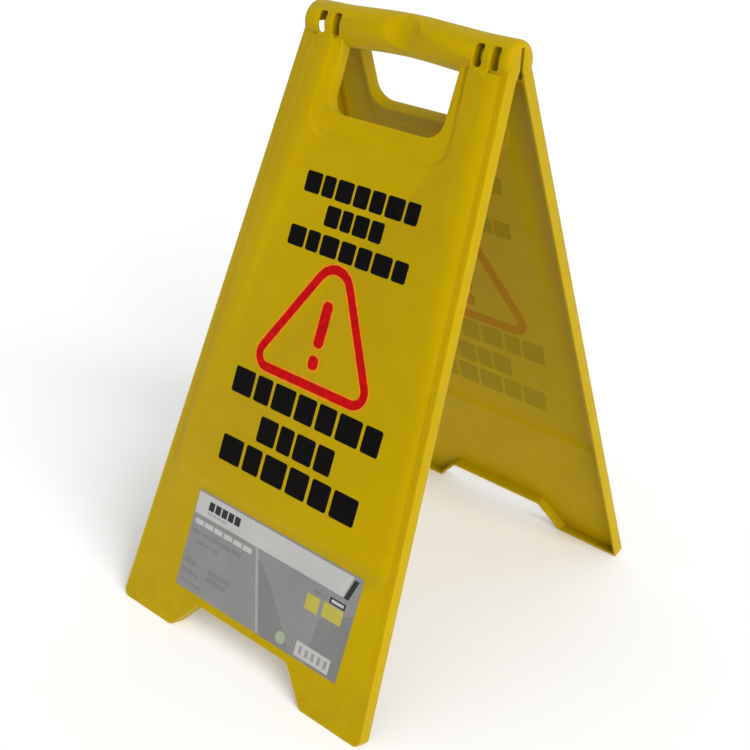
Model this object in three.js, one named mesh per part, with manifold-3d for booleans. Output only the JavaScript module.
// A folding floor sign: two moulded trays that hinge under a shared round grip and stand
// as an A-frame. Millimetres, +Z up, origin on the floor under the hinge, front face to -Y.

import * as THREE from 'three';
import { mergeVertices } from 'three/addons/utils/BufferGeometryUtils.js';
import Module from 'manifold-3d';

const wasm = await Module();
wasm.setup();

// ---- Driving sizes ----------------------------------------------------------------------

const halfSpread = THREE.MathUtils.degToRad(20);
const panelLength = 552;         // hinge axis to sole, measured down the outer face
const soleWidth = 300;           // panel width at the soles
const axisWidth = 213;           // panel width carried up to the hinge axis
const faceHeight = 12;           // outer face above the fold plane
const rimHeight = 0.5;           // open rim above the fold plane
const wall = 2.4;

const fieldRise = 2.2;           // raised print field above the outer face
const fieldMargin = 7.7;         // panel edge to the foot of the field's bevel
const fieldBevel = 9.7;
const fieldTop = 13.5;
const fieldBottom = 409.5;
const fieldRadius = 12;

const openingHalf = 62;          // handle opening
const openingBottom = 72;
const openingRadius = 15;
const pocketTop = 65.3;          // half width of the sunk pocket's floor at the hinge axis
const pocketBottom = 90.5;
const pocketBevel = 4.5;
const pocketRadius = 16;

const footCutTop = 56;           // foot cut-out, half widths at its top and at the soles
const footCutBottom = 82.5;
const footCutHeight = 31;
const footRadius = 7;

const gripRadius = 17.3;
const gripOverhang = 1.5;        // each end passes the panel's edge at the hinge axis
const gripEndRadius = 5;
const gripCrown = 3.4;           // how far the middle of the grip arches up
const gripCrownHalf = 84;
const gripTopAngle = THREE.MathUtils.degToRad(69.5);
const gripBottomAngle = THREE.MathUtils.degToRad(-88);
const filletRadius = 40;         // hollow curve from the grip down onto the raised field
const filletInner = 72;          // it runs over each post, between these distances
const filletOuter = 89;
const thumbHalf = 19;            // thumb scoop in the middle of the grip
const thumbDepth = 5.5;

const pinRadius = 3;
const pinClearance = 0.3;
const pinOverhang = 1.5;         // a pin passes its outermost and innermost ear by this much
const pinChamfer = 0.8;
const hubRadius = 9;
const earThickness = 6.5;
const earGap = 1.5;              // between one ear's place and the next
const earInset = 22;             // grip's end to the centre of the outermost ear

// Which places along each end of a moulding hold an ear, and which have a slot for the
// other moulding's ear. Two mouldings turned back to back interleave.
const hingeEnds = [
  { side: -1, ears: [1], slots: [0, 2] },
  { side: 1, ears: [0, 2], slots: [1, 3] },
];

const lastEarPlace = 2;

const slotMargin = 1.25;         // a slot passes the ear that lies in it by this, each side
const slotTop = -7;              // drops from the axis, so the slot's top lies above it
const slotBottom = 11;
const slotRadius = 3;
const slotClearance = 0.6;       // between a slot's floor and the hub that lies in it

const endGapHalf = 2;            // the grip's end walls stay this far from its middle plane
const endGapTop = 12;            // heights from the axis, with the sign standing open
const endGapBottom = -20;

const reliefLength = 10;         // notch in the rear moulding's right end wall and flange
const reliefReach = 9.6;
const reliefTop = -1;
const reliefBottom = -14;

const restGap = 0.3;             // air under a printed mark or the label
const inkThickness = 0.3;
const labelThickness = 0.5;
const labelWidth = 199;
const labelHeight = 92;
const labelTop = 421.5;
const labelOffset = 10.5;        // the label sits right of the middle

const symbolApex = 167;          // where the triangle's sides would meet
const symbolBottom = 297.5;
const symbolHalf = 75.3;
const symbolStroke = 8;
const symbolApexRadius = 23;
const symbolRadius = 15;
const markHalf = 5.5;
const markRadius = 4.5;
const markTop = 221;
const markBottom = 261;
const dotTop = 268;
const dotBottom = 280;

const lineRadius = 2;

// Printed lines: top, height, half width and how far right of the middle each one is.
const messageLines = [
  { top: 122.5, height: 17.8, half: 62, offset: 2.5 },
  { top: 145.5, height: 17.3, half: 31.5, offset: 3 },
  { top: 169.5, height: 17.3, half: 65.5, offset: 3 },
  { top: 302.5, height: 23, half: 85.5, offset: 4 },
  { top: 334.5, height: 23, half: 43.5, offset: 4.5 },
  { top: 363.5, height: 23.5, half: 80.5, offset: 4.5 },
];

// ---- Derived sizes ----------------------------------------------------------------------

const plateauHeight = faceHeight + fieldRise;
const sideSlope = (soleWidth - axisWidth) / 2 / panelLength;
const axisAboveFloor = panelLength * Math.cos(halfSpread) - faceHeight * Math.sin(halfSpread);
const far = 3 * gripRadius;      // reach of a cutter that only has to clear the grip
const gripHalfLength = axisWidth / 2 + gripOverhang;
const earPitch = earThickness + earGap;
const slotHalf = earThickness / 2 + slotMargin;

// ---- Fineness ---------------------------------------------------------------------------

const arcSteps = 5;
const gripSides = 40;
const gripStations = 16;
const gripEndSteps = 3;
const pinSides = 24;
const rollerSides = 72;
const smallestRadius = 0.6;
const weldDistance = 1e-4;
const sliver = 0.01;             // straight part between a plateau's two bevels
const overrun = 6;               // how far a cutter passes the surface it opens

function halfWidth(drop) {
  return axisWidth / 2 + sideSlope * drop;
}

// ---- Solids -----------------------------------------------------------------------------

function toSolid(geometry) {
  const bare = new THREE.BufferGeometry();
  bare.setAttribute('position', geometry.getAttribute('position'));
  bare.setIndex(geometry.getIndex());
  const merged = mergeVertices(bare, weldDistance);
  return new wasm.Manifold(new wasm.Mesh({
    numProp: 3,
    vertProperties: new Float32Array(merged.getAttribute('position').array),
    triVerts: new Uint32Array(merged.getIndex().array),
  }));
}

function toGeometry(solid) {
  const mesh = solid.getMesh();
  const geometry = new THREE.BufferGeometry();
  geometry.setAttribute('position', new THREE.BufferAttribute(mesh.vertProperties, 3));
  geometry.setIndex(new THREE.BufferAttribute(mesh.triVerts, 1));
  geometry.computeVertexNormals();
  return geometry;
}

// ---- Outlines ---------------------------------------------------------------------------
// A panel is drawn upright with the hinge axis at height 0. A corner is { x, y, r }, where
// y is the height, so a drop d down the panel is y = -d. Corners run anticlockwise.

function turnAt(corners, index) {
  const count = corners.length;
  const before = corners[(index + count - 1) % count];
  const here = corners[index];
  const after = corners[(index + 1) % count];
  const arrive = new THREE.Vector2(here.x - before.x, here.y - before.y).normalize();
  const leave = new THREE.Vector2(after.x - here.x, after.y - here.y).normalize();
  return { here, arrive, leave, cross: arrive.cross(leave), dot: arrive.dot(leave) };
}

// Moves every side inwards by distance; a rounded corner keeps its arc's centre.
function inset(corners, distance) {
  return corners.map((corner, index) => {
    const { arrive, leave, cross, dot } = turnAt(corners, index);
    const miter = distance / (1 + dot);
    const x = corner.x + miter * (-arrive.y - leave.y);
    const y = corner.y + miter * (arrive.x + leave.x);
    const rounded = Math.max(corner.r - Math.sign(cross) * distance, smallestRadius);
    return { x, y, r: corner.r === 0 ? 0 : rounded };
  });
}

function outline(corners) {
  const shape = new THREE.Shape();
  corners.forEach((corner, index) => {
    const { here, arrive, leave, cross, dot } = turnAt(corners, index);
    if (corner.r === 0) {
      if (index === 0) shape.moveTo(here.x, here.y);
      else shape.lineTo(here.x, here.y);
      return;
    }
    const side = Math.sign(cross);
    const reach = corner.r * Math.sqrt((1 - dot) / (1 + dot));
    const startX = here.x - arrive.x * reach;
    const startY = here.y - arrive.y * reach;
    const centreX = startX - side * arrive.y * corner.r;
    const centreY = startY + side * arrive.x * corner.r;
    const from = Math.atan2(startY - centreY, startX - centreX);
    const to = from + side * Math.acos(dot);
    if (index === 0) shape.moveTo(startX, startY);
    else shape.lineTo(startX, startY);
    shape.absarc(centreX, centreY, corner.r, from, to, side < 0);
  });
  shape.closePath();
  return shape;
}

// Extrudes an upright outline from one height above the fold plane to another. The panel's
// outward side is -Y.
function slab(corners, low, high) {
  const geometry = new THREE.ExtrudeGeometry(outline(corners), {
    depth: high - low, bevelEnabled: false, curveSegments: arcSteps,
  });
  geometry.translate(0, 0, low);
  geometry.rotateX(Math.PI / 2);
  return toSolid(geometry);
}

// A plateau whose foot is the outline at height foot and whose top is rise higher and
// bevel smaller. The bevel is mirrored below the foot, where it lies inside the wall.
function plateau(corners, foot, rise, bevel) {
  const top = inset(corners, bevel);
  const geometry = new THREE.ExtrudeGeometry(outline(top), {
    depth: sliver,
    bevelThickness: rise,
    bevelSize: bevel,
    bevelSegments: 1,
    curveSegments: arcSteps,
  });
  geometry.translate(0, 0, foot);
  geometry.rotateX(Math.PI / 2);
  return toSolid(geometry);
}

// Extrudes an outline drawn in the panel's side view, x running to +Y, along X.
function prism(points, low, high) {
  const shape = new THREE.Shape(points.map(([y, z]) => new THREE.Vector2(y, z)));
  const geometry = new THREE.ExtrudeGeometry(shape, { depth: high - low, bevelEnabled: false });
  geometry.translate(0, 0, low);
  const alongX = new THREE.Matrix4().makeBasis(
    new THREE.Vector3(0, 1, 0), new THREE.Vector3(0, 0, 1), new THREE.Vector3(1, 0, 0));
  return toSolid(geometry.applyMatrix4(alongX));
}

// Turns a profile of [distance along X, radius] points about the hinge axis.
function turnedGeometry(profile, sides) {
  const points = profile.map(([along, radius]) => new THREE.Vector2(radius, along));
  return new THREE.LatheGeometry(points, sides).rotateZ(-Math.PI / 2);
}

function rod(low, high, radius, sides = pinSides) {
  const profile = [[low, 0], [low, radius], [high, radius], [high, 0]];
  return toSolid(turnedGeometry(profile, sides));
}

// ---- The moulded panel ------------------------------------------------------------------

function panelCorners(top, bottom) {
  return [
    { x: -halfWidth(bottom), y: -bottom, r: footRadius },
    { x: -footCutBottom, y: -bottom, r: footRadius },
    { x: -footCutTop, y: -panelLength + footCutHeight, r: footRadius },
    { x: footCutTop, y: -panelLength + footCutHeight, r: footRadius },
    { x: footCutBottom, y: -bottom, r: footRadius },
    { x: halfWidth(bottom), y: -bottom, r: footRadius },
    { x: halfWidth(top), y: -top, r: 0 },
    { x: openingHalf, y: -top, r: 0 },
    { x: openingHalf, y: -openingBottom, r: openingRadius },
    { x: -openingHalf, y: -openingBottom, r: openingRadius },
    { x: -openingHalf, y: -top, r: 0 },
    { x: -halfWidth(top), y: -top, r: 0 },
  ];
}

function fieldCorners() {
  const low = halfWidth(fieldBottom + fieldBevel) - fieldMargin;
  const high = halfWidth(0) - fieldMargin;
  return [
    { x: -low, y: -fieldBottom - fieldBevel, r: fieldRadius },
    { x: low, y: -fieldBottom - fieldBevel, r: fieldRadius },
    { x: high, y: fieldBevel, r: 0 },
    { x: -high, y: fieldBevel, r: 0 },
  ];
}

function pocketCorners() {
  const low = pocketTop + sideSlope * pocketBottom;
  const high = pocketTop - sideSlope * pocketBevel;
  return [
    { x: -low, y: -pocketBottom, r: pocketRadius },
    { x: low, y: -pocketBottom, r: pocketRadius },
    { x: high, y: pocketBevel, r: 0 },
    { x: -high, y: pocketBevel, r: 0 },
  ];
}

// The raised field with the sunk handle pocket cut back out of it. depth is how far under
// the panel's skin it lies: 0 outside, or one wall for the matching recess inside.
function raisedField(depth) {
  const foot = faceHeight - depth;
  const field = plateau(inset(fieldCorners(), depth / 2), foot, fieldRise, fieldBevel);
  const pocketMouth = inset(pocketCorners(), -pocketBevel - depth / 2);
  const pocket = plateau(pocketMouth, foot + fieldRise, fieldRise, pocketBevel);
  const border = inset(panelCorners(fieldTop, panelLength), depth);
  return field.subtract(pocket).intersect(slab(border, foot - fieldRise, foot + 2 * fieldRise));
}

// A box that is upright when the sign stands open, between two corners from the axis.
function uprightBox(low, high) {
  const size = high.clone().sub(low);
  const centre = low.clone().add(high).divideScalar(2);
  const block = new THREE.BoxGeometry(size.x, size.y, size.z);
  block.translate(centre.x, centre.y, centre.z);
  block.rotateX(halfSpread);
  return toSolid(block);
}

// Everything above a level that is lift over the soles.
function aboveFloor(lift) {
  return uprightBox(
    new THREE.Vector3(-soleWidth, -panelLength, lift - axisAboveFloor),
    new THREE.Vector3(soleWidth, panelLength, far));
}

// The panel without its grip: the outer shell, and the space inside it.
function tray() {
  const inside = inset(panelCorners(-overrun, panelLength), wall);
  const shell = slab(panelCorners(0, panelLength), rimHeight, faceHeight).add(raisedField(0));
  const hollow = slab(inside, -overrun, faceHeight - wall).add(raisedField(wall));
  return { shell, hollow };
}

// ---- The grip ---------------------------------------------------------------------------

// A round body along the hinge axis whose middle arches up.
function arched(profile) {
  const geometry = turnedGeometry(profile, gripSides);
  const position = geometry.getAttribute('position');
  for (let index = 0; index < position.count; index += 1) {
    const share = Math.min(Math.abs(position.getX(index)) / gripCrownHalf, 1);
    const lift = gripCrown * (1 + Math.cos(Math.PI * share)) / 2;
    position.setZ(index, position.getZ(index) + lift);
  }
  return toSolid(geometry);
}

function gripProfile(halfLength, radius, endRadius) {
  const end = [];
  for (let step = 0; step <= gripEndSteps; step += 1) {
    const angle = step / gripEndSteps * Math.PI / 2;
    end.push([
      halfLength - endRadius * (1 - Math.sin(angle)),
      radius - endRadius * (1 - Math.cos(angle)),
    ]);
  }
  const low = end.map(([along, r]) => [-along, r]).reverse();
  const middle = [];
  for (let step = 1; step < gripStations; step += 1) {
    middle.push([(halfLength - endRadius) * (2 * step / gripStations - 1), radius]);
  }
  return [[-halfLength, 0], ...low, ...middle, ...end, [halfLength, 0]];
}

// The wedge of space that belongs to one half of the grip.
function gripSector() {
  const point = (angle) => [-far * Math.cos(angle), far * Math.sin(angle)];
  const middle = (gripTopAngle + gripBottomAngle) / 2;
  return prism([
    [0, 0],
    point(gripTopAngle),
    point((gripTopAngle + middle) / 2),
    point(middle),
    point((gripBottomAngle + middle) / 2),
    point(gripBottomAngle),
  ], -2 * gripHalfLength, 2 * gripHalfLength);
}

// A round scoop for the thumb: an upright roller pressed into the middle of the grip. A
// roller larger by growth leaves a wall of that thickness behind the scoop.
function thumbRoller(growth) {
  const scoopRadius = (thumbHalf * thumbHalf + thumbDepth * thumbDepth) / (2 * thumbDepth);
  const radius = scoopRadius + growth;
  const roller = new THREE.CylinderGeometry(radius, radius, 2 * far, rollerSides);
  roller.rotateX(Math.PI / 2);
  roller.translate(0, -gripRadius + thumbDepth - scoopRadius, 0);
  return toSolid(roller);
}

// Fills the crease between the grip and the raised field over one post with a hollow curve
// that runs out smoothly on both.
function gripFillet(side) {
  const centreY = -plateauHeight - filletRadius;
  const centreZ = -Math.sqrt((gripRadius + filletRadius) ** 2 - centreY ** 2);
  const sweep = Math.atan2(-centreZ, -centreY);
  const creaseZ = -Math.sqrt(gripRadius ** 2 - plateauHeight ** 2);
  const buried = -plateauHeight + wall / 2;
  const points = [[buried, centreZ]];
  for (let step = 0; step <= arcSteps; step += 1) {
    const angle = sweep * step / arcSteps;
    points.push([
      centreY + filletRadius * Math.cos(angle),
      centreZ + filletRadius * Math.sin(angle),
    ]);
  }
  points.push([buried, creaseZ]);
  const ends = [side * filletInner, side * filletOuter];
  return prism(points.reverse(), Math.min(...ends), Math.max(...ends));
}

// ---- The hinge --------------------------------------------------------------------------

function placeAt(side, place) {
  return side * (gripHalfLength - earInset - (lastEarPlace - place) * earPitch);
}

// An ear runs from the half grip's wall to a hub on the hinge axis.
function ear(centre) {
  const low = centre - earThickness / 2;
  const high = centre + earThickness / 2;
  const web = rod(low, high, gripRadius - wall / 2, gripSides).intersect(gripSector());
  return web.add(rod(low, high, hubRadius));
}

// Lets the other moulding's ear through the grip's wall, down to the level its hub reaches.
function slot(centre) {
  const corners = rectangle(centre - slotHalf, centre + slotHalf, slotTop, slotBottom, slotRadius);
  return slab(corners, hubRadius + slotClearance, far);
}

function pinSpan(side) {
  const reach = earThickness / 2 + pinOverhang;
  const ends = [placeAt(side, 0) - side * reach, placeAt(side, lastEarPlace) + side * reach];
  return { low: Math.min(...ends), high: Math.max(...ends) };
}

function hingePin(side) {
  const { low, high } = pinSpan(side);
  return toSolid(turnedGeometry([
    [low, 0], [low, pinRadius - pinChamfer], [low + pinChamfer, pinRadius],
    [high - pinChamfer, pinRadius], [high, pinRadius - pinChamfer], [high, 0],
  ], pinSides));
}

function pinBore(side) {
  const { low, high } = pinSpan(side);
  return rod(low - overrun, high + overrun, pinRadius + pinClearance);
}

// Parts the two mouldings' end walls along the middle plane.
function endGap(side) {
  const ends = [side * (gripHalfLength - wall - overrun), side * (gripHalfLength + overrun)];
  return uprightBox(
    new THREE.Vector3(Math.min(...ends), -endGapHalf, endGapBottom),
    new THREE.Vector3(Math.max(...ends), endGapHalf, endGapTop));
}

// Opens a notch through one end wall and the flange below it.
function endRelief() {
  return uprightBox(
    new THREE.Vector3(gripHalfLength - reliefLength, -reliefReach, reliefBottom),
    new THREE.Vector3(gripHalfLength + overrun, 0, reliefTop));
}

// ---- One whole moulding -----------------------------------------------------------------

function moulding(hasRelief) {
  const { shell, hollow } = tray();
  const gripOuter = arched(gripProfile(gripHalfLength, gripRadius, gripEndRadius));
  const gripInner = arched(gripProfile(
    gripHalfLength - wall, gripRadius - wall, gripEndRadius - wall));
  let body = shell.add(gripOuter.intersect(gripSector()));
  body = body.subtract(hollow.subtract(gripOuter).intersect(aboveFloor(wall)));
  hingeEnds.forEach(({ side }) => { body = body.add(gripFillet(side)); });
  body = body.subtract(thumbRoller(0));
  body = body.subtract(gripInner.subtract(thumbRoller(wall)));
  hingeEnds.forEach(({ side, ears, slots }) => {
    ears.forEach((place) => { body = body.add(ear(placeAt(side, place))); });
    slots.forEach((place) => { body = body.subtract(slot(placeAt(side, place))); });
    body = body.subtract(endGap(side)).subtract(pinBore(side));
  });
  if (hasRelief) body = body.subtract(endRelief());
  return body.intersect(aboveFloor(0));
}

// ---- Printed marks and label ------------------------------------------------------------

function rectangle(left, right, top, bottom, radius) {
  return [
    { x: left, y: -bottom, r: radius }, { x: right, y: -bottom, r: radius },
    { x: right, y: -top, r: radius }, { x: left, y: -top, r: radius },
  ];
}

function printed(corners) {
  const low = plateauHeight + restGap;
  return slab(corners, low, low + inkThickness);
}

function symbolFrame() {
  const corners = [
    { x: -symbolHalf, y: -symbolBottom, r: symbolRadius },
    { x: symbolHalf, y: -symbolBottom, r: symbolRadius },
    { x: 0, y: -symbolApex, r: symbolApexRadius },
  ];
  const inside = slab(inset(corners, symbolStroke), plateauHeight, plateauHeight + overrun);
  return printed(corners).subtract(inside);
}

function label() {
  const low = faceHeight + restGap;
  const left = labelOffset - labelWidth / 2;
  const corners = rectangle(left, left + labelWidth, labelTop, labelTop + labelHeight, 0);
  return slab(corners, low, low + labelThickness);
}

// ---- Assembly ---------------------------------------------------------------------------

const yellow = { color: 0xd6b400, roughness: 0.42, metalness: 0 };
const black = { color: 0x111111, roughness: 0.55, metalness: 0 };
const red = { color: 0xb5121b, roughness: 0.55, metalness: 0 };
const grey = { color: 0x8a8886, roughness: 0.6, metalness: 0 };

function piece(name, solid, finish) {
  const mesh = new THREE.Mesh(toGeometry(solid), new THREE.MeshStandardMaterial(finish));
  mesh.name = name;
  return mesh;
}

function side(name, hasRelief) {
  const group = new THREE.Group();
  const bar = rectangle(-markHalf, markHalf, markTop, markBottom, markRadius);
  const dot = rectangle(-markHalf, markHalf, dotTop, dotBottom, markRadius);
  group.rotation.x = -halfSpread;
  group.add(piece(`${name}_panel`, moulding(hasRelief), yellow));
  group.add(piece(`${name}_symbol_frame`, symbolFrame(), red));
  group.add(piece(`${name}_symbol_bar`, printed(bar), red));
  group.add(piece(`${name}_symbol_dot`, printed(dot), red));
  messageLines.forEach(({ top, height, half, offset }, index) => {
    const line = rectangle(offset - half, offset + half, top, top + height, lineRadius);
    group.add(piece(`${name}_message_line_${index + 1}`, printed(line), black));
  });
  return group;
}

const sign = new THREE.Group();
sign.name = 'floor_sign';
sign.position.z = axisAboveFloor;

const front = side('front', false);
front.add(piece('label', label(), grey));
front.add(piece('left_hinge_pin', hingePin(-1), yellow));
front.add(piece('right_hinge_pin', hingePin(1), yellow));
sign.add(front);

const turnedAround = new THREE.Group();
turnedAround.rotation.z = Math.PI;
turnedAround.add(side('rear', true));
sign.add(turnedAround);

export default sign;
